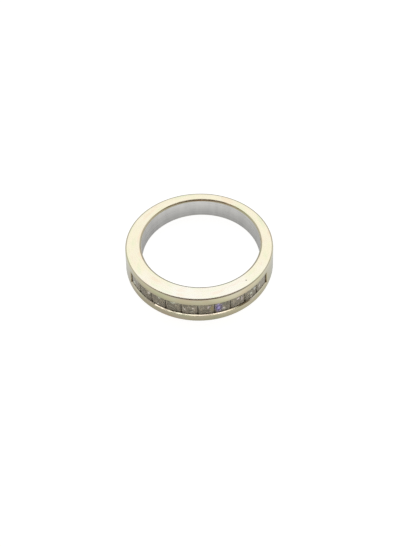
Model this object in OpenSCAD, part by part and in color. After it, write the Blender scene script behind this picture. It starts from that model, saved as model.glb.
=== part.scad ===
// Half eternity ring: a white gold band with princess-cut stones held in a channel across its front.
// The ring lies on one side face with its stones facing -Y. The origin is on that face's plane,
// where the finger bore's axis meets it.

/* [Band] */
// Diameter of the finger bore
bore_d = 16.8; // [15:0.1:21]
// Mean thickness of the wall, from the bore to the outer wall
wall = 2.05; // [2:0.05:2.5]
// How far the outer wall's centre lies in front of the bore's, so that the band is thickest at the stones
front_shift = 0.55; // [0.4:0.05:0.7]
// How far the outer wall's centre lies to the left of the bore's
left_shift = 0.23; // [0:0.01:0.3]
// Width of the band at its front
front_width = 4.65; // [4.4:0.05:5.5]
// Width of the band at its back
back_width = 3.25; // [2.5:0.05:4]
// Radius of the round along each outer edge
edge_round = 0.3; // [0.15:0.01:0.35]
// Radius of the round along each edge of the bore
bore_round = 0.4; // [0.1:0.05:0.5]

/* [Channel] */
// How far each rail's lip reaches over a stone
lip_catch = 0.1; // [0.1:0.01:0.18]
// How much wider the channel's mouth is than its opening at the stones, to each side, where the lips slope
lip_slope = 0.07; // [0.05:0.01:0.15]
// Depth of the stones' tables below the outer wall
table_depth = 0.2; // [0.2:0.01:0.28]
// Direction of the row's middle, in degrees from the front towards +X
row_angle = -2.2; // [-10:0.1:10]
// Running gap between a stone and the metal round it
seat_gap = 0.03; // [0.02:0.01:0.05]

/* [Stones] */
// Number of stones in the row
stone_count = 10; // [6:1:11]
// Side of a stone's square girdle
stone_side = 2.3; // [2.1:0.05:2.4]
// Gap between neighbouring stones
stone_gap = 0.03; // [0.02:0.01:0.06]
// Table's side as a share of the girdle's
table_share = 0.72; // [0.65:0.01:0.78]
// Height from girdle to table
crown_height = 0.22; // [0.18:0.01:0.24]
// Thickness of the girdle
girdle_height = 0.04; // [0.02:0.01:0.05]
// Depth from girdle to culet
pavilion_depth = 1.12; // [1:0.01:1.15]

/* [Hidden] */
function stone_name(i) = str("stone_", i < 10 ? "0" : "", i);

$fn = 96;

// Band

bore_r = bore_d / 2;
outer_r = bore_r + wall;
// the outer wall's centre, seen along the bore
outer_x = -left_shift;
outer_y = -front_shift;
// each side face leans by half the wedge between them
lean = atan((front_width - back_width) / 2 / (2 * outer_r));
// half the band's width at the outer wall's centre and at the bore's axis
half_at_outer = (front_width + back_width) / 4;
half_at_bore = half_at_outer + outer_y * tan(lean);

// Princess cut, about the middle of the girdle's upper edge with the table up

half_side = stone_side / 2;
// the facets' corners lie in rows: each row's distance from the axis is a share of the half side
crown_break_share = 0.875;
crown_break_height = 0.6 * crown_height;
upper_pavilion_share = 0.8;
upper_pavilion_depth = 0.36 * pavilion_depth;
ridge_share = 0.56;
ridge_depth = 0.5 * pavilion_depth;
lower_pavilion_share = 0.46;
lower_pavilion_depth = 0.66 * pavilion_depth;

// Channel: heights in it are radii about the outer wall's centre

half_open = half_side - lip_catch;
seat_half = half_side + seat_gap;
table_r = outer_r - table_depth;
girdle_r = table_r - crown_height;
culet_r = girdle_r - girdle_height - pavilion_depth;
// a crown rises along its corners and, more steeply, from the middles of its sides
corner_rise = crown_height / (half_side * (1 - table_share));
side_rise = crown_break_height / (half_side * (1 - crown_break_share));
// a stone is flat, so its corners lie further from the centre than the middles of its sides: each lip clears
// both at its inner edge, and its underside slopes down to clear the girdle's corners
crown_at_lip_r = max(norm([girdle_r + lip_catch * corner_rise, half_open]), girdle_r + lip_catch * side_rise);
lip_r = crown_at_lip_r + seat_gap;
bearing_r = norm([girdle_r, half_side]) + seat_gap;
// the lips slope over this share of their depth, from the top, and are straight below it
lip_slope_share = 0.7;
lip_bend_r = outer_r - lip_slope_share * (outer_r - lip_r);
// how much wider the channel gets to each side, for each millimetre up that slope
lip_gain = lip_slope / (outer_r - lip_bend_r);
// the seat's straight sides reach a little below the girdle, and its floor clears the culets
seat_below_girdle = 0.1;
culet_gap = 0.05;
ledge_r = girdle_r - girdle_height - seat_below_girdle;
floor_r = culet_r - culet_gap;
floor_half = 0.4;
// the angle that one stone takes, and the whole channel's
stone_angle = 2 * atan((stone_side + stone_gap) / 2 / girdle_r);
channel_angle = stone_count * stone_angle + 2 * atan(seat_gap / girdle_r);

// how far a cutting shape runs past what it cuts
past = 1;
// a rounding shape is turned by the lean, so it stands off the wall that it rounds by what the wall gains
// along the lean and over the round's own depth, and a little more, so that it cuts the edge alone
clear = 0.002;
function stand_off(radius, round_r) = radius * (1 / cos(lean) - 1) + round_r * tan(lean) + clear;
// how far a rounding circle rises past the face that it meets, so that it crosses the face
rise = 0.004;

// Turns the ring, drawn about its bore, so that its lower side face lies on the ground
module lay_down() {
    rotate([-lean, 0, 0])
        translate([0, 0, half_at_bore])
            children();
}

// Puts Z = 0 on a side face, with Z pointing out of the band, about the outer wall's centre
module on_side(side) {
    mirror([0, 0, side < 0 ? 1 : 0])
        translate([outer_x, outer_y, half_at_outer])
            rotate([-lean, 0, 0])
                children();
}

// A thick disc below Z = 0 whose rim is rounded, with a wide foot that clears the wall below the round
module rounded_disc() {
    rim_r = outer_r + stand_off(outer_r, edge_round) - edge_round;
    depth = 2 * front_width;
    rotate_extrude()
        union() {
            translate([0, -depth])
                square([outer_r + past, depth - edge_round]);
            translate([0, -depth])
                square([rim_r, depth]);
            translate([rim_r, -edge_round])
                circle(edge_round);
        }
}

// What is cut away to round the bore's edge in the plane Z = 0
module bore_edge_cut() {
    circle_r = bore_r + bore_round - stand_off(bore_r, bore_round);
    translate([-outer_x, -outer_y / cos(lean), 0])
        rotate_extrude()
            difference() {
                translate([bore_r - past, -bore_round])
                    square([past + bore_round, bore_round + past]);
                translate([circle_r, rise - bore_round])
                    circle(bore_round);
            }
}

module band_blank() {
    intersection() {
        translate([outer_x, outer_y, -front_width])
            cylinder(r = outer_r, h = 2 * front_width);
        on_side(1) rounded_disc();
        on_side(-1) rounded_disc();
    }
}

module finger_bore() {
    translate([0, 0, -front_width])
        cylinder(r = bore_r, h = 2 * front_width);
    on_side(1) bore_edge_cut();
    on_side(-1) bore_edge_cut();
}

// Half of the channel's section as [radius, distance across the band], from past the outer wall to the floor
function channel_side(way) = [
    [outer_r + past, way * (half_open + lip_slope + past * lip_gain)],
    [lip_bend_r, way * half_open],
    [lip_r, way * half_open],
    [bearing_r, way * seat_half],
    [ledge_r, way * seat_half],
    [floor_r, way * floor_half],
];

function backwards(list) = [for (i = [len(list) - 1:-1:0]) list[i]];

module channel() {
    translate([outer_x, outer_y, 0])
        rotate([0, 0, row_angle - channel_angle / 2 - 90])
            rotate_extrude(angle = channel_angle)
                polygon(concat(channel_side(1), backwards(channel_side(-1))));
}

module band() {
    color("gainsboro")
        lay_down()
            difference() {
                band_blank();
                finger_bore();
                channel();
            }
}

// Four points on a stone's diagonals, or across the middles of its sides, at one height
function on_corners(share, z) =
    [for (x = [-1, 1], y = [-1, 1]) [x * share * half_side, y * share * half_side, z]];
function on_middles(share, z) =
    [for (a = [0:90:270]) [share * half_side * cos(a), share * half_side * sin(a), z]];

module princess_cut() {
    corners = concat(
        on_corners(table_share, crown_height),
        on_middles(crown_break_share, crown_break_height),
        on_corners(1, 0),
        on_corners(1, -girdle_height),
        on_middles(upper_pavilion_share, -girdle_height - upper_pavilion_depth),
        on_corners(ridge_share, -girdle_height - ridge_depth),
        on_middles(lower_pavilion_share, -girdle_height - lower_pavilion_depth),
        [[0, 0, -girdle_height - pavilion_depth]]
    );
    // the facets are the flats of the hull, so the face list only has to name every corner
    hull()
        polyhedron(points = corners, faces = [[for (i = [0:len(corners) - 1]) i]]);
}

// Stone i of the row, counted from the left
module stone(i) {
    angle = row_angle + (i - (stone_count + 1) / 2) * stone_angle;
    color("lavender")
        lay_down()
            translate([outer_x, outer_y, 0])
                rotate([0, 0, angle])
                    translate([0, -girdle_r, 0])
                        rotate([90, 0, 0])
                            princess_cut();
}

band();
for (i = [1:stone_count])
    stone(i);
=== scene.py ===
"""Half eternity ring lying on its side: the looks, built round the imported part.

The band is one piece of white gold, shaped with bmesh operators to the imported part's own sizes. The ten
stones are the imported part's own faceted solids with a diamond's material. Lengths are in metres, or in
millimetres where a name or a comment says so.
"""
import math

import bmesh
import bpy
from mathutils import Matrix, Vector, noise


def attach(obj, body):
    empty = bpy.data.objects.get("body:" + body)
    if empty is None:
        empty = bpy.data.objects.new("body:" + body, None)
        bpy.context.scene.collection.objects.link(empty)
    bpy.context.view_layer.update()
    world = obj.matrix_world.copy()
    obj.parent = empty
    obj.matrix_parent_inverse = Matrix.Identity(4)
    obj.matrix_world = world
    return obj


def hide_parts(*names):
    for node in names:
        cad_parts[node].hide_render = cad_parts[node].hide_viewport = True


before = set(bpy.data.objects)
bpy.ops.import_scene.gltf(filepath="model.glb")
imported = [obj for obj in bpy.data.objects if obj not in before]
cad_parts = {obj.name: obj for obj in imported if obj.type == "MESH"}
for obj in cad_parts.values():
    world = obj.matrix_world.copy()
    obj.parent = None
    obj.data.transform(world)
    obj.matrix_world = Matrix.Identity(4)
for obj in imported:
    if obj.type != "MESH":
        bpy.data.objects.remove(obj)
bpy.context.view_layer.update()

MM = 0.001

# The picture: its size in pixels, and where the part's origin lies in it
PICTURE_WIDTH = 410
PICTURE_HEIGHT = 547
ORIGIN_PIXEL = Vector((201.17, 260.51))

# The camera: a long lens, so that the ring is nearly free of perspective
FOCAL_PIXELS = 2000
CAMERA_DISTANCE = 285.3 * MM
CAMERA_ELEVATION = math.radians(50.5)
CAMERA_ROLL = math.radians(1.32)
SENSOR = 36.0

# The band
BORE_R = 8.4 * MM
WALL = 2.05 * MM
OUTER_R = BORE_R + WALL
FRONT_SHIFT = 0.55 * MM
LEFT_SHIFT = 0.23 * MM
FRONT_WIDTH = 4.65 * MM
BACK_WIDTH = 3.25 * MM
EDGE_ROUND = 0.3 * MM
BORE_ROUND = 0.4 * MM
LEAN = math.atan((FRONT_WIDTH - BACK_WIDTH) / 2 / (2 * OUTER_R))
HALF_AT_OUTER = (FRONT_WIDTH + BACK_WIDTH) / 4
HALF_AT_BORE = HALF_AT_OUTER - FRONT_SHIFT * math.tan(LEAN)

# The stones
STONE_SIDE = 2.3 * MM
STONE_GAP = 0.03 * MM
TABLE_SHARE = 0.72
CROWN_HEIGHT = 0.22 * MM
GIRDLE_HEIGHT = 0.04 * MM
PAVILION_DEPTH = 1.12 * MM
STONES = sorted(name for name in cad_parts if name.startswith("stone_"))

# The channel that holds them, with the two rails' lips
TABLE_DEPTH = 0.2 * MM
LIP_CATCH = 0.1 * MM
LIP_SLOPE = 0.07 * MM
LIP_SLOPE_SHARE = 0.7
LIP_ROUND = 0.03 * MM
LIP_BURNISHED = 0.018 * MM
LIP_UNEVENNESS = 0.01 * MM
LIP_WANDER_PACE = 8
LIP_WANDER_APART = 42.18
SEAT_GAP = 0.03 * MM
SEAT_BELOW_GIRDLE = 0.1 * MM
CULET_GAP = 0.05 * MM
FLOOR_HALF = 0.4 * MM
ROW_ANGLE = math.radians(-2.2)
GIRDLE_R = OUTER_R - TABLE_DEPTH - CROWN_HEIGHT
STONE_ANGLE = 2 * math.atan((STONE_SIDE + STONE_GAP) / 2 / GIRDLE_R)
CHANNEL_ANGLE = len(STONES) * STONE_ANGLE + 2 * math.atan(SEAT_GAP / GIRDLE_R)
HALF_OPEN = STONE_SIDE / 2 - LIP_CATCH
HALF_MOUTH = HALF_OPEN + LIP_SLOPE
SEAT_HALF = STONE_SIDE / 2 + SEAT_GAP

# Colours of the stones' painted flashes of light and painted dark reflections
WHITE = "F6F2EC"
GREENISH = "DAE1D2"
PINKISH = "E2D2DC"
BLUE_GREY = "BCC4C4"
AMBER = "8E8048"
MOSS = "40483A"
PLUM = "6C4C5C"

# The painted flashes of light and painted dark reflections: which stone from the left, how far right of its
# middle and how far up as shares of half its side, how far it reaches sideways and up and down in
# millimetres, and which colour
PAINTED_FLASHES_AND_DARKS = (
    (1, -0.25, -0.4, 0.4, 0.6, GREENISH),
    (2, 0.7, 0.5, 0.25, 0.5, WHITE),
    (3, 0.0, -0.5, 0.25, 0.4, WHITE),
    (3, 0.25, 0.6, 0.2, 0.2, GREENISH),
    (4, -0.5, 0.6, 0.25, 0.25, MOSS),
    (4, 0.0, 0.7, 0.5, 0.2, GREENISH),
    (5, -0.6, 0.0, 0.2, 0.3, WHITE),
    (5, -0.4, 0.6, 0.2, 0.2, MOSS),
    (5, -0.1, 0.4, 0.15, 0.2, WHITE),
    (5, 0.2, 0.6, 0.2, 0.2, MOSS),
    (5, 0.4, 0.25, 0.2, 0.2, WHITE),
    (6, 0.3, 0.4, 0.2, 0.3, PINKISH),
    (6, 0.7, 0.0, 0.4, 1.0, AMBER),
    (6, 0.4, -0.6, 0.35, 0.2, PLUM),
    (7, 0.0, 0.5, 0.35, 0.3, MOSS),
    (7, 0.1, -0.3, 0.4, 0.2, WHITE),
    (8, 0.0, 0.4, 0.3, 0.4, PINKISH),
    (8, 0.5, 0.2, 0.2, 0.6, PINKISH),
    (9, 0.0, -0.7, 0.2, 0.25, WHITE),
    (9, -0.1, 0.0, 0.25, 0.4, GREENISH),
    (9, 0.5, 0.4, 0.35, 0.4, BLUE_GREY),
    (10, -0.5, 0.0, 0.2, 0.3, WHITE),
)
PAINTED_SPOT_DEPTH = 0.4 * MM

# One large painted violet flash of fire, light the stone splits into colours: where it is, in the same way,
# and how far it reaches along X, Y and Z
VIOLET_PLACE = (7, -0.55, 0.0)
VIOLET_SIZE = Vector((0.8, 0.9, 1.35)) * MM

# The span over which the facets push a painted flash's outline about
SHAKE = 0.55 * MM

# How far the painted line of shade between two stones reaches to each side
PAINTED_SHADE_REACH = 0.1 * MM

# A small pit in the upper side face, right of the front, drawn only as a spot of painted shade
PIT = Vector((6.17, -7.38, 4.41)) * MM
PIT_R = 0.13 * MM

# How far the stage's sheets reach, and how far out the reflected one's painted shadow and light change its
# colour
SHEET_R = 600 * MM
CARD_REACH = 20 * MM

# The strip lamp nearly overhead: where it crosses the middle, as the Y part of a direction, how fast it bends
# back to the sides, and half its width
STRIP_AT = -0.2
STRIP_BEND = 0.9
STRIP_HALF_WIDTH = 0.04

# How finely the band's round walls are divided, and how near two corners are one
BAND_STEPS = 360
TOUCHING = 0.001 * MM

# From the band's own frame, about the outer wall's axis and its middle plane, to the lying ring's
LAY_DOWN = Matrix.Rotation(-LEAN, 4, "X") @ Matrix.Translation((-LEFT_SHIFT, -FRONT_SHIFT, HALF_AT_BORE))


def linear(hex_colour):
    """A shader's colour from an sRGB hex value such as C8BFA8."""
    shares = [int(hex_colour[i:i + 2], 16) / 255 for i in (0, 2, 4)]
    return (*[s / 12.92 if s <= 0.04045 else ((s + 0.055) / 1.055) ** 2.4 for s in shares], 1.0)


def light(red, green, blue):
    """A light's or a card's colour, already linear."""
    return (red, green, blue, 1.0)


def grey(level):
    """A light's or a card's neutral colour, already linear."""
    return light(level, level, level)


def per(size_mm):
    """A texture's scale for features of this size."""
    return 1 / (size_mm * MM)


# Shader nodes


def fill(tree, node, inputs):
    """Gives a node's inputs their values, or links them to the sockets given."""
    for name, value in inputs.items():
        if isinstance(value, bpy.types.NodeSocket):
            tree.links.new(value, node.inputs[name])
        else:
            node.inputs[name].default_value = value


def add(tree, kind, inputs=None, **settings):
    """Adds a node with its settings and its inputs."""
    node = tree.nodes.new(kind)
    for name, value in settings.items():
        setattr(node, name, value)
    fill(tree, node, inputs or {})
    return node


def maths(tree, operation, *values):
    """A number worked out from numbers or sockets."""
    return add(tree, "ShaderNodeMath", dict(enumerate(values)), operation=operation).outputs[0]


def vector_maths(tree, operation, *values):
    """A vector worked out from vectors or sockets."""
    return add(tree, "ShaderNodeVectorMath", dict(enumerate(values)), operation=operation).outputs[0]


def length(tree, vector):
    """How long a vector is."""
    return add(tree, "ShaderNodeVectorMath", {0: vector}, operation="LENGTH").outputs["Value"]


def between(tree, value, start, end, low=0.0, high=1.0, kind="SMOOTHSTEP"):
    """Low where a value is at start, high where it is at end, and held there beyond them."""
    inputs = {"Value": value, "From Min": start, "From Max": end, "To Min": low, "To Max": high}
    return add(tree, "ShaderNodeMapRange", inputs, interpolation_type=kind).outputs["Result"]


def mixed(tree, amount, first, second, blend="MIX"):
    """The first colour with the second laid over it by this amount."""
    inputs = {"Factor": amount, "A": first, "B": second}
    return add(tree, "ShaderNodeMix", inputs, data_type="RGBA", blend_type=blend).outputs["Result"]


def ramp(tree, value, *stops):
    """A colour picked from stops, each a place and its colour."""
    node = add(tree, "ShaderNodeValToRGB", {"Fac": value})
    elements = node.color_ramp.elements
    for i, (place, colour) in enumerate(stops):
        stop = elements[i] if i < len(elements) else elements.new(place)
        stop.position = place
        stop.color = colour
    return node.outputs["Color"]


def stretched(tree, coordinates, size_mm, detail=0.0, **inputs):
    """A noise whose features have these three sizes along its coordinates."""
    scaled = vector_maths(tree, "MULTIPLY", coordinates, tuple(per(size) for size in size_mm))
    inputs.update({"Vector": scaled, "Scale": 1.0, "Detail": detail})
    return add(tree, "ShaderNodeTexNoise", inputs).outputs["Fac"]


def place_on(tree):
    """The place on the object, and its X, Y and Z."""
    where = add(tree, "ShaderNodeTexCoord").outputs["Object"]
    return where, add(tree, "ShaderNodeSeparateXYZ", {"Vector": where}).outputs


def bumped(tree, height, strength, depth, **inputs):
    """A surface's normal, uneven by a height map."""
    inputs.update({"Height": height, "Strength": strength, "Distance": depth})
    return add(tree, "ShaderNodeBump", inputs).outputs["Normal"]


def new_material(name):
    """A node material and its tree."""
    material = bpy.data.materials.new(name)
    material.use_nodes = True
    return material, material.node_tree


def finish(material, inputs):
    """Gives the material's shader these inputs."""
    fill(material.node_tree, material.node_tree.nodes["Principled BSDF"], inputs)
    return material


def new_object(name, bm):
    """An object at the origin made from a bmesh."""
    mesh = bpy.data.meshes.new(name)
    bm.to_mesh(mesh)
    bm.free()
    made = bpy.data.objects.new(name, mesh)
    bpy.context.scene.collection.objects.link(made)
    return made


# Band


def side_face(side):
    """Carries the plane Z = 0 onto the band's upper (1) or lower (-1) side face, along Z alone."""
    return Matrix((
        (1, 0, 0, 0),
        (0, 1, 0, 0),
        (0, -side * math.tan(LEAN), 1, side * HALF_AT_OUTER),
        (0, 0, 0, 1),
    ))


def rim(centre, radius, side):
    """Carries a circle of radius 1 in the plane Z = 0 onto one of the four circles round the side faces."""
    return side_face(side) @ Matrix.Translation(centre) @ Matrix.Diagonal((radius, radius, 1, 1))


def turned(point):
    """A point's direction about the outer wall's axis, 0 at the front and positive towards +X."""
    return math.atan2(point.x, -point.y)


def from_axis(point):
    """A point's distance from the outer wall's axis."""
    return math.hypot(point.x, point.y)


def only(parts, kind):
    """Those of an operator's results that are of one kind."""
    return [part for part in parts if isinstance(part, kind)]


def whole(faces):
    """These faces with their edges and corners, as the cutting and extruding operators need them."""
    return list({part for face in faces for part in (face, *face.edges, *face.verts)})


def square_edges(bm, centre, radius):
    """The sharp edges at this distance from an axis."""
    return [
        edge for edge in bm.edges
        if all(abs((vert.co.xy - centre.xy).length - radius) < TOUCHING for vert in edge.verts)
        and edge.calc_face_angle(0) > math.radians(45)
    ]


def round_off(bm, edges, size, segments):
    """Rounds these edges."""
    bmesh.ops.bevel(
        bm, geom=edges, offset=size, segments=segments, profile=0.5, affect="EDGES", material=-1)


def blank(bm):
    """The plain band: one circle carried round the wedge's four edges, which are then rounded."""
    axis = Vector((0, 0, 0))
    bore_axis = Vector((LEFT_SHIFT, FRONT_SHIFT, 0))
    rims = [
        rim(axis, OUTER_R, 1), rim(bore_axis, BORE_R, 1),
        rim(bore_axis, BORE_R, -1), rim(axis, OUTER_R, -1),
    ]
    bmesh.ops.create_circle(bm, segments=BAND_STEPS, radius=1, matrix=rims[0])
    loop = bm.edges[:]
    for here, there in zip(rims, rims[1:] + rims[:1]):
        made = bmesh.ops.extrude_edge_only(bm, edges=loop)["geom"]
        loop = only(made, bmesh.types.BMEdge)
        verts = only(made, bmesh.types.BMVert)
        bmesh.ops.transform(bm, matrix=there @ here.inverted(), verts=verts)
    bmesh.ops.remove_doubles(bm, verts=bm.verts, dist=TOUCHING)
    bmesh.ops.recalc_face_normals(bm, faces=bm.faces)
    round_off(bm, square_edges(bm, axis, OUTER_R), EDGE_ROUND, 8)
    round_off(bm, square_edges(bm, bore_axis, BORE_R), BORE_ROUND, 10)


def outer_wall(bm, reach):
    """The faces of the outer wall within this angle to each side of the row's middle."""
    return [
        face for face in bm.faces
        if abs(from_axis(face.calc_center_median()) - OUTER_R) < 0.01 * MM
        and abs(face.normal.z) < 0.01
        and all(abs(turned(vert.co) - ROW_ANGLE) < reach for vert in face.verts)
    ]


def cut_wall(bm, point, normal):
    """Cuts the outer wall round the channel along a plane."""
    reach = CHANNEL_ANGLE / 2 + 2 * math.tau / BAND_STEPS
    bmesh.ops.bisect_plane(
        bm, geom=whole(outer_wall(bm, reach)), dist=TOUCHING / 10, plane_co=point, plane_no=normal)


def channel(bm):
    """Sinks the channel into the outer wall: the mouth, the lips with their undersides, seat and floor."""
    corner_rise = CROWN_HEIGHT / (STONE_SIDE / 2 * (1 - TABLE_SHARE))
    lip_r = math.hypot(GIRDLE_R + LIP_CATCH * corner_rise, HALF_OPEN) + SEAT_GAP
    lip_bend_r = OUTER_R - LIP_SLOPE_SHARE * (OUTER_R - lip_r)
    bearing_r = math.hypot(GIRDLE_R, STONE_SIDE / 2) + SEAT_GAP
    ledge_r = GIRDLE_R - GIRDLE_HEIGHT - SEAT_BELOW_GIRDLE
    floor_r = GIRDLE_R - GIRDLE_HEIGHT - PAVILION_DEPTH - CULET_GAP
    for side in (1, -1):
        cut_wall(bm, (0, 0, side * HALF_MOUTH), (0, 0, 1))
    for side in (1, -1):
        end = ROW_ANGLE + side * CHANNEL_ANGLE / 2
        cut_wall(bm, (0, 0, 0), (math.cos(end), math.sin(end), 0))
    opening = [
        face for face in outer_wall(bm, CHANNEL_ANGLE / 2 + math.radians(0.01))
        if abs(face.calc_center_median().z) < HALF_MOUTH
    ]
    mouth = {vert for face in opening for vert in face.verts}
    radius, half = OUTER_R, HALF_MOUTH
    steps = (
        (lip_bend_r, HALF_OPEN), (lip_r, HALF_OPEN), (bearing_r, SEAT_HALF), (ledge_r, SEAT_HALF),
        (floor_r, FLOOR_HALF))
    for new_radius, new_half in steps:
        made = bmesh.ops.extrude_face_region(bm, geom=whole(opening))["geom"]
        opening = only(made, bmesh.types.BMFace)
        verts = only(made, bmesh.types.BMVert)
        grow = new_radius / radius
        bmesh.ops.scale(bm, vec=(grow, grow, new_half / half), verts=verts)
        radius, half = new_radius, new_half
    wear_lips(mouth)
    round_off(bm, square_edges(bm, Vector((0, 0, 0)), OUTER_R), LIP_ROUND, 3)


def wear_lips(verts):
    """Opens the lips' edges a little and lets them wander, as where a setter has burnished them by hand."""
    for vert in verts:
        side = math.copysign(1, vert.co.z)
        at = Vector((turned(vert.co) * LIP_WANDER_PACE, side * LIP_WANDER_APART, 0.5))
        wander = noise.noise(at)
        vert.co.z += side * (LIP_BURNISHED + wander * LIP_UNEVENNESS)


def crisp_edges(bm):
    """Marks the edges that stay sharp in smooth shading: steep ones, and the borders of the lips' slopes."""
    lips = {
        face for face in bm.faces
        if abs(face.calc_center_median().z) < HALF_MOUTH + LIP_ROUND
        and 0.8 < abs(face.normal.z) < 0.98
        and OUTER_R - TABLE_DEPTH < from_axis(face.calc_center_median()) < OUTER_R - 1.5 * LIP_ROUND
    }
    for edge in bm.edges:
        in_lips = sum(face in lips for face in edge.link_faces)
        edge.smooth = edge.calc_face_angle(0) < math.radians(30) and in_lips != 1


def paint_zones(bm):
    """Gives each face its finish: 0 polished outside, 1 satin bore, 2 unpolished seat under the lips."""
    bore_axis = Vector((LEFT_SHIFT, FRONT_SHIFT))
    for face in bm.faces:
        middle = face.calc_center_median()
        in_bore = (middle.xy - bore_axis).length < BORE_R + 0.02 * MM
        in_row = abs(turned(middle) - ROW_ANGLE) < CHANNEL_ANGLE and abs(middle.z) < SEAT_HALF + 0.01 * MM
        in_seat = in_row and from_axis(middle) < OUTER_R - TABLE_DEPTH
        face.material_index = 1 if in_bore else 2 if in_seat else 0


def build_band():
    """The band with its channel, lying as the ring does."""
    bm = bmesh.new()
    blank(bm)
    channel(bm)
    bmesh.ops.recalc_face_normals(bm, faces=bm.faces)
    paint_zones(bm)
    crisp_edges(bm)
    for face in bm.faces:
        face.smooth = True
    bm.transform(LAY_DOWN)
    return new_object("ring_band", bm)


# Finishes


def round_the_ring(tree, where, parts):
    """Coordinates that follow the ring, in metres: the way round, the distance from its axis, the height."""
    angle = maths(tree, "ARCTAN2", parts["X"], parts["Y"])
    way = maths(tree, "MULTIPLY", angle, OUTER_R)
    reach = length(tree, vector_maths(tree, "MULTIPLY", where, (1, 1, 0)))
    return add(tree, "ShaderNodeCombineXYZ", {"X": way, "Y": reach, "Z": parts["Z"]}).outputs[0]


def polished_white_gold():
    """Cast and polished white gold whose rhodium plating is partly worn off.

    The eye sees sharp reflections, cooler where the plating is whole and creamy where the gold shows through,
    with hairline scratches and a slightly uneven surface from polishing by hand."""
    material, tree = new_material("polished_white_gold")
    where, parts = place_on(tree)
    along = round_the_ring(tree, where, parts)
    # the plating has stayed whitest at the front and is worn off towards the back
    back = between(tree, parts["Y"], -11 * MM, -1 * MM, 0.0, 0.55)
    blotches = stretched(tree, where, (4, 4, 4), 4.0, Roughness=0.6)
    wear = maths(tree, "ADD", back, blotches)
    gold = ramp(tree, wear, (0.30, linear("F0EFE9")), (0.62, linear("F0EDE0")), (0.95, linear("EEE8D2")))
    # faint pink, yellow and green stains, drawn out along the ring
    stains = ramp(
        tree, stretched(tree, along, (3.2, 0.9, 0.9), 2.0),
        (0.34, linear("FFF7F4")), (0.46, linear("FFFEFF")), (0.56, linear("FFFEFA")),
        (0.66, linear("F7FDF6")))
    stained = mixed(tree, 1.0, gold, stains, "MULTIPLY")
    # painted shade: the pit has no dent, its shade is painted as a dark spot in the colour
    to_pit = length(tree, vector_maths(tree, "SUBTRACT", where, PIT))
    pit = between(tree, to_pit, 0.35 * PIT_R, PIT_R, 1.0, 0.0)
    # hairlines are a few hundredths of a millimetre wide, drawn here at 0.15 so that they show
    hairs_round = stretched(tree, along, (3.0, 0.15, 0.15), 2.0)
    hairs_across = stretched(tree, along, (0.18, 2.5, 2.5), 2.0)
    hairs = maths(tree, "MULTIPLY", hairs_round, hairs_across)
    smudges = stretched(tree, where, (1.6, 1.6, 1.6), 3.0)
    dull = maths(tree, "ADD", hairs, smudges)
    waves = stretched(tree, where, (2.2, 2.2, 2.2), 1.0)
    return finish(material, {
        "Base Color": mixed(tree, pit, stained, linear("4A4436")),
        "Metallic": 1.0,
        "Roughness": between(tree, dull, 0.5, 1.1, 0.07, 0.2, "LINEAR"),
        "Normal": bumped(tree, hairs, 0.3, 0.004 * MM, Normal=bumped(tree, waves, 0.25, 0.02 * MM)),
    })


def satin_rhodium():
    """Rhodium plating left satin inside the bore: a soft neutral grey with fine brush lines round it."""
    material, tree = new_material("satin_rhodium")
    along = round_the_ring(tree, *place_on(tree))
    lines = stretched(tree, along, (9.0, 6.0, 0.16), 3.0)
    bands = stretched(tree, along, (1.1, 6.0, 6.0), 2.0)
    shade = between(tree, maths(tree, "ADD", lines, bands), 0.7, 1.3, kind="LINEAR")
    return finish(material, {
        "Base Color": mixed(tree, shade, linear("DAD9D6"), linear("EDECE8")),
        "Metallic": 1.0,
        "Roughness": between(tree, lines, 0.3, 0.7, 0.26, 0.4, "LINEAR"),
        "Normal": bumped(tree, lines, 0.35, 0.006 * MM),
    })


def cut_seat():
    """White gold as the setter's burr left it under the stones: dull and rough, and darker with painted shade
    from the stones above it.
    """
    material, tree = new_material("cut_seat")
    grain = stretched(tree, place_on(tree)[0], (0.2, 0.2, 0.2), 3.0)
    # painted shade: both grain colours are darker than the polished metal's because the seat lies under the
    # stones
    return finish(material, {
        "Base Color": mixed(tree, grain, linear("A9A294"), linear("CFC8B8")),
        "Metallic": 1.0,
        "Roughness": 0.38,
        "Normal": bumped(tree, grain, 0.5, 0.02 * MM),
    })


def on_stone(number, right, up):
    """A place on a stone's table, in the lying ring's coordinates, from shares of half the stone's side."""
    angle = ROW_ANGLE + (number - (len(STONES) + 1) / 2 + right / 2) * STONE_ANGLE
    table_r = OUTER_R - TABLE_DEPTH
    return LAY_DOWN @ Vector((table_r * math.sin(angle), -table_r * math.cos(angle), up * STONE_SIDE / 2))


def near(tree, where, place, spread):
    """1 at a place on the part, falling to 0 at an ellipsoid of this size round it."""
    shares = vector_maths(tree, "DIVIDE", vector_maths(tree, "SUBTRACT", where, place), spread)
    return between(tree, length(tree, shares), 0.35, 1.0, 1.0, 0.0)


def stones_from_middle(tree, where):
    """How many stones a place lies from the row's middle, positive towards +X."""
    # the band's own frame, in which the stones' sides lie along radii
    own = add(tree, "ShaderNodeMapping", {
        "Vector": where, "Location": (LEFT_SHIFT, FRONT_SHIFT, -HALF_AT_BORE), "Rotation": (LEAN, 0, 0)})
    parts = add(tree, "ShaderNodeSeparateXYZ", {"Vector": own.outputs[0]}).outputs
    angle = maths(tree, "ARCTAN2", parts["X"], maths(tree, "MULTIPLY", parts["Y"], -1.0))
    return maths(tree, "DIVIDE", maths(tree, "SUBTRACT", angle, ROW_ANGLE), STONE_ANGLE)


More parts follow.
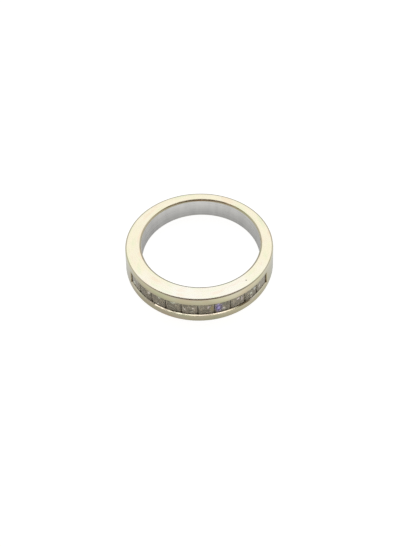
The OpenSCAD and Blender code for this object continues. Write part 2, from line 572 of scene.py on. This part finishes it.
def diamond():
    """Princess-cut diamond on a worn ring: flat polished facets that bend light strongly.

    The eye sees a sparkle that a film of soap has greyed, small painted flashes of light and painted dark
    reflections, one large painted violet flash of coloured light, end stones painted paler as a painted
    sheen, and a thin dark line of painted shade between stone and stone."""
    material, tree = new_material("cut_diamond")
    where = place_on(tree)[0]
    stones_on = stones_from_middle(tree, where)
    # painted shade: a dark line between stone and stone, where their sloping crowns shade each other
    joint_share = PAINTED_SHADE_REACH / STONE_SIDE
    painted_joint_shade = between(
        tree, maths(tree, "PINGPONG", stones_on, 0.5), 0.5 * joint_share, joint_share, 1.0, 0.0)
    # the facets below break each painted flash's outline up
    shards = add(tree, "ShaderNodeTexNoise", {"Vector": where, "Scale": per(0.25), "Detail": 0.0})
    centred = vector_maths(tree, "SUBTRACT", shards.outputs["Color"], (0.5, 0.5, 0.5))
    shaken = vector_maths(tree, "MULTIPLY_ADD", centred, (SHAKE, SHAKE, SHAKE), where)
    flicker = stretched(tree, shaken, (0.3, 0.3, 0.4), 1.0)
    # painted highlights: pale, less clear patches where facets would flash with light
    painted_glints = between(tree, flicker, 0.62, 0.74, 0.0, 0.6, "LINEAR")
    # painted sheen: the end stones are painted paler and less clear, for the light they catch at the row's
    # ends
    painted_end_sheen = between(tree, maths(tree, "ABSOLUTE", stones_on), 2.8, 4.6, 0.0, 0.45)
    layers = [(painted_end_sheen, linear("E6E2D6")), (painted_glints, linear("E4EAE0"))]
    # painted highlights in white, greenish, pinkish and blue-grey, painted fire in amber, and painted dark
    # reflections in moss and plum
    for number, right, up, wide, high, tint in PAINTED_FLASHES_AND_DARKS:
        spread = (wide * MM, PAINTED_SPOT_DEPTH, high * MM)
        layers.append((near(tree, shaken, on_stone(number, right, up), spread), linear(tint)))
    # painted fire: a violet patch of coloured light laid into the stone's colour
    violet = ramp(
        tree, stretched(tree, where, (0.3, 0.3, 0.3)),
        (0.36, linear("40336A")), (0.5, linear("6656B0")), (0.64, linear("B0A4EA")))
    layers.append((near(tree, shaken, on_stone(*VIOLET_PLACE), VIOLET_SIZE), violet))
    layers.append((painted_joint_shade, linear("4A443A")))
    smears = stretched(tree, where, (0.5, 0.5, 0.5), 3.0)
    opaque = ramp(tree, smears, (0.35, grey(0.12)), (0.65, grey(0.32)))
    colour = linear("D6C9BA")
    for amount, tint in layers:
        opaque = maths(tree, "MAXIMUM", opaque, amount)
        colour = mixed(tree, amount, colour, tint)
    return finish(material, {
        "Base Color": colour,
        "Transmission Weight": maths(tree, "SUBTRACT", 1.0, opaque),
        "Roughness": 0.02,
        "IOR": 2.42,
    })


# Studio


def studio():
    """A white softbox above and behind the ring, in a room that is grey low down and on both sides.

    The room's front half, where the camera is, is dark overhead, lighter to the sides and towards the front
    wall, and holds a narrow strip lamp nearly overhead. Light that has passed through the stones comes from
    a livelier room with small bright windows."""
    world = bpy.data.worlds.new("studio")
    world.use_nodes = True
    bpy.context.scene.world = world
    tree = world.node_tree
    tree.nodes.clear()
    way = add(tree, "ShaderNodeTexCoord").outputs["Generated"]
    parts = add(tree, "ShaderNodeSeparateXYZ", {"Vector": way}).outputs
    beside = maths(tree, "ABSOLUTE", parts["X"])
    low = between(tree, parts["Z"], 0.62, 0.38)
    to_the_side = between(tree, beside, 0.44, 0.7)
    in_front = between(tree, parts["Y"], 0.26, 0.08)
    horizon = ramp(tree, beside, (0.0, light(0.15, 0.15, 0.14)), (0.5, light(0.44, 0.43, 0.40)))
    overhead = ramp(
        tree, beside,
        (0.0, light(0.04, 0.015, 0.01)), (0.2, light(0.04, 0.025, 0.015)), (0.6, light(0.18, 0.14, 0.09)),
        (0.85, light(0.40, 0.37, 0.28)), (1.0, light(0.50, 0.48, 0.40)))
    front_wall = ramp(tree, beside, (0.0, light(0.50, 0.38, 0.26)), (0.45, light(0.52, 0.50, 0.44)))
    to_the_wall = between(tree, parts["Z"], 0.72, 0.32, 0.0, 0.8, "LINEAR")
    front_half = mixed(tree, to_the_wall, overhead, front_wall)
    # the lips' slopes reflect the strip lamp
    across = maths(tree, "MULTIPLY", beside, beside)
    bent = maths(tree, "MULTIPLY_ADD", across, -STRIP_BEND, parts["Y"])
    strip = maths(tree, "COMPARE", bent, STRIP_AT, STRIP_HALF_WIDTH)
    from_left = between(tree, parts["X"], -1.0, 1.0, kind="LINEAR")
    ends = ramp(
        tree, from_left, (0.22, grey(0.0)), (0.235, grey(1.0)), (0.70, grey(1.0)), (0.72, grey(0.0)))
    in_strip = maths(tree, "MULTIPLY", strip, ends)
    windows = add(tree, "ShaderNodeTexNoise", {"Vector": way, "Scale": 2.6, "Detail": 2.0}).outputs["Fac"]
    sparkle = ramp(
        tree, windows,
        (0.36, light(0.18, 0.16, 0.13)), (0.5, light(0.28, 0.25, 0.21)), (0.6, light(0.44, 0.41, 0.37)),
        (0.69, light(0.95, 0.93, 0.90)))
    path = add(tree, "ShaderNodeLightPath").outputs
    sky = light(1.12, 1.12, 1.10)
    layers = (
        (low, horizon), (to_the_side, light(0.54, 0.53, 0.48)), (in_front, front_half),
        (in_strip, light(1.75, 1.6, 1.42)), (path["Is Transmission Ray"], sparkle),
        (path["Is Camera Ray"], grey(1.0)))
    for amount, colour in layers:
        sky = mixed(tree, amount, sky, colour)
    shine = add(tree, "ShaderNodeBackground", {"Color": sky, "Strength": 1.0})
    add(tree, "ShaderNodeOutputWorld", {"Surface": shine.outputs[0]})


def sheet(name, material):
    """A wide round sheet at floor level."""
    bm = bmesh.new()
    bmesh.ops.create_circle(bm, segments=96, radius=SHEET_R, cap_ends=True)
    made = new_object(name, bm)
    made.data.materials.append(material)
    return made


def floor():
    """A white acrylic sheet, lit from below as well as from above."""
    material, tree = new_material("white_acrylic")
    finish(material, {
        "Base Color": grey(0.25),
        "Roughness": 0.6,
        "Emission Color": grey(1.0),
        "Emission Strength": 0.92,
    })
    made = sheet("floor", material)
    made.visible_glossy = False
    made.visible_transmission = False


def reflected_floor():
    """What the metal and the stones see of the floor: a glowing tan sheet, with a painted shadow that darkens
    it next to the ring, and neutral inside and behind it. The camera doesn't see it."""
    material, tree = new_material("tan_card")
    where, parts = place_on(tree)
    share = maths(tree, "DIVIDE", length(tree, where), CARD_REACH)
    # painted shadow: both ramps darken next to the ring's walls, inside and outside it
    front = ramp(
        tree, share,
        (0.0, grey(0.75)), (0.29, grey(0.67)), (0.35, grey(0.54)), (0.42, grey(0.45)),
        (0.56, light(0.38, 0.35, 0.28)), (0.71, light(0.57, 0.56, 0.42)), (1.0, light(0.62, 0.58, 0.48)))
    behind = ramp(
        tree, share,
        (0.0, grey(0.85)), (0.27, grey(0.78)), (0.34, grey(0.57)), (0.41, grey(0.40)),
        (0.54, light(0.60, 0.62, 0.64)), (0.71, light(0.73, 0.75, 0.76)), (1.0, grey(0.7)))
    # painted light: lighter in front towards the right, outside the ring
    right = between(tree, parts["X"], 2 * MM, 7 * MM, kind="LINEAR")
    outside = between(tree, share, 0.48, 0.72, kind="LINEAR")
    lit = maths(tree, "MULTIPLY", right, outside)
    front_lit = mixed(tree, lit, front, light(0.74, 0.71, 0.58))
    back = between(tree, parts["Y"], -9 * MM, 2 * MM)
    finish(material, {
        "Base Color": grey(0.0),
        "Specular IOR Level": 0.0,
        "Emission Color": mixed(tree, back, front_lit, behind),
        "Emission Strength": 1.0,
    })
    made = sheet("reflected_floor", material)
    made.visible_camera = False
    made.visible_diffuse = False
    made.visible_shadow = False


def camera():
    """The photograph's view of the ring: from the front, 50.5 degrees above the floor."""
    back = Vector((0, -math.cos(CAMERA_ELEVATION), math.sin(CAMERA_ELEVATION)))
    eye = back * CAMERA_DISTANCE
    roll = Matrix.Rotation(-CAMERA_ROLL, 4, "Z")
    level = (-back).to_track_quat("-Z", "Y").to_matrix().to_4x4() @ roll
    # the picture's middle lies a little below and to the right of the origin
    off = (Vector((PICTURE_WIDTH, PICTURE_HEIGHT)) / 2 - ORIGIN_PIXEL) * CAMERA_DISTANCE / FOCAL_PIXELS
    way = level.to_3x3() @ Vector((off.x, -off.y, 0)) - eye
    data = bpy.data.cameras.new("camera")
    data.sensor_width = SENSOR
    data.lens = SENSOR * FOCAL_PIXELS / PICTURE_HEIGHT
    data.clip_start = 0.01
    data.clip_end = 10
    view = bpy.data.objects.new("camera", data)
    view.matrix_world = Matrix.Translation(eye) @ way.to_track_quat("-Z", "Y").to_matrix().to_4x4() @ roll
    bpy.context.scene.collection.objects.link(view)
    bpy.context.scene.camera = view


camera()
studio()
floor()
reflected_floor()

band = build_band()
for metal in (polished_white_gold(), satin_rhodium(), cut_seat()):
    band.data.materials.append(metal)
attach(band, "root")
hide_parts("band")

cut_diamond = diamond()
for name in STONES:
    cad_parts[name].data.materials[0] = cut_diamond

bpy.context.scene.view_settings.view_transform = "Standard"
